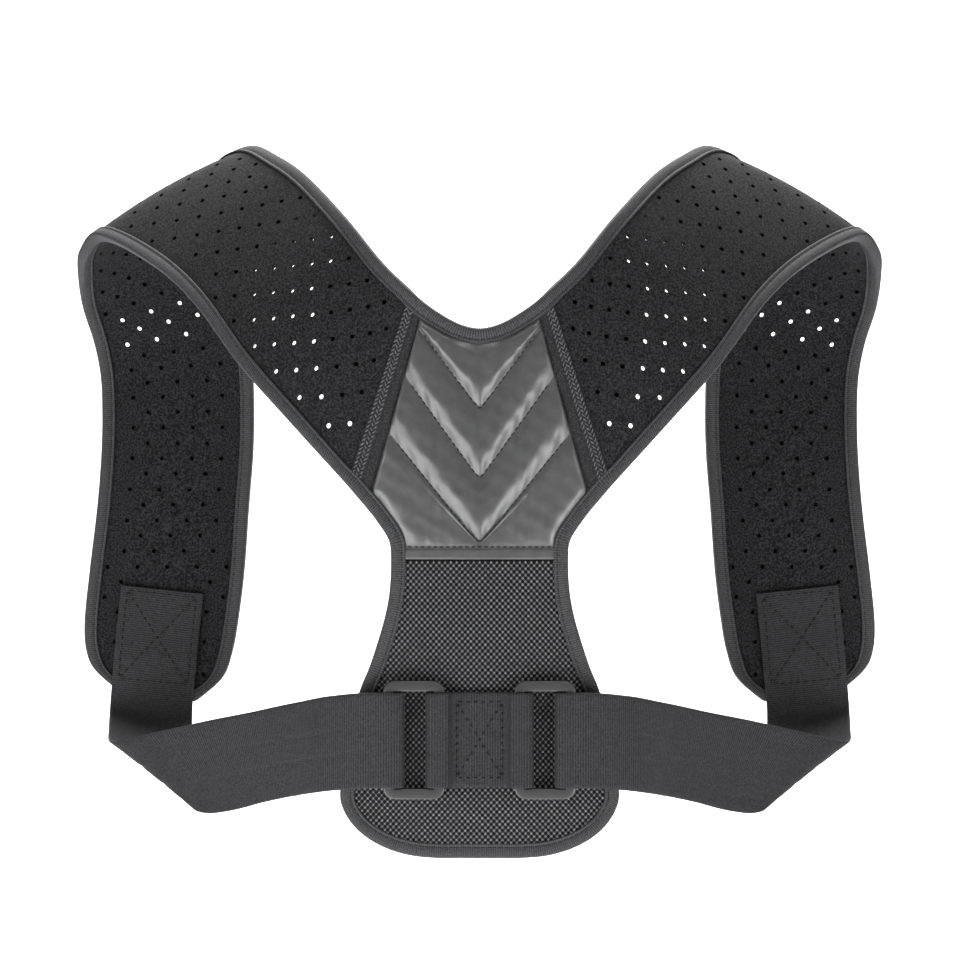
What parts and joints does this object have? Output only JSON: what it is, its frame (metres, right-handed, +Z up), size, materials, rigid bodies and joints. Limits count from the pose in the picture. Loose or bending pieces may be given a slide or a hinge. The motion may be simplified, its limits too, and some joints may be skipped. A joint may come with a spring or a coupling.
{
  "type": "shoulder-strap posture corrector",
  "caption": "Posture corrector worn on the back: padded vented shoulder straps, quilted and mesh back panels, and webbing belts that fasten through rings.",
  "frame": {"origin": "on the centre line between the shoulders, level with the underside of the shoulder straps at their ridge, where the part rests when it is worn", "axes": "+X to the wearer's right, +Y to the wearer's front, +Z up"},
  "size_m": [0.4218, 0.1753, 0.3439],
  "materials": {
    "vented_neoprene": "matt jersey-faced foam rubber, perforated",
    "coated_fabric": "smooth satin polyurethane coating, quilted",
    "air_mesh": "open spacer mesh with diamond cells",
    "strip_cloth": "speckled knitted strip",
    "binding_tape": "cross-ribbed tape with a slight sheen",
    "webbing": "cross-ribbed woven tape with a slight sheen",
    "ring_plastic": "moulded acetal, semi-gloss black"
  },
  "bodies": {
    "root": {"shoulder_pad_right": "vented_neoprene", "shoulder_pad_left": "vented_neoprene", "quilted_panel": "coated_fabric", "mesh_panel": "air_mesh", "seam_strip_right": "strip_cloth", "seam_strip_left": "strip_cloth", "edge_binding": "binding_tape", "belt_webbing_right": "webbing", "belt_webbing_left": "webbing", "square_ring_right": "ring_plastic", "square_ring_left": "ring_plastic", "centre_webbing": "webbing"}
  },
  "joints": []
}
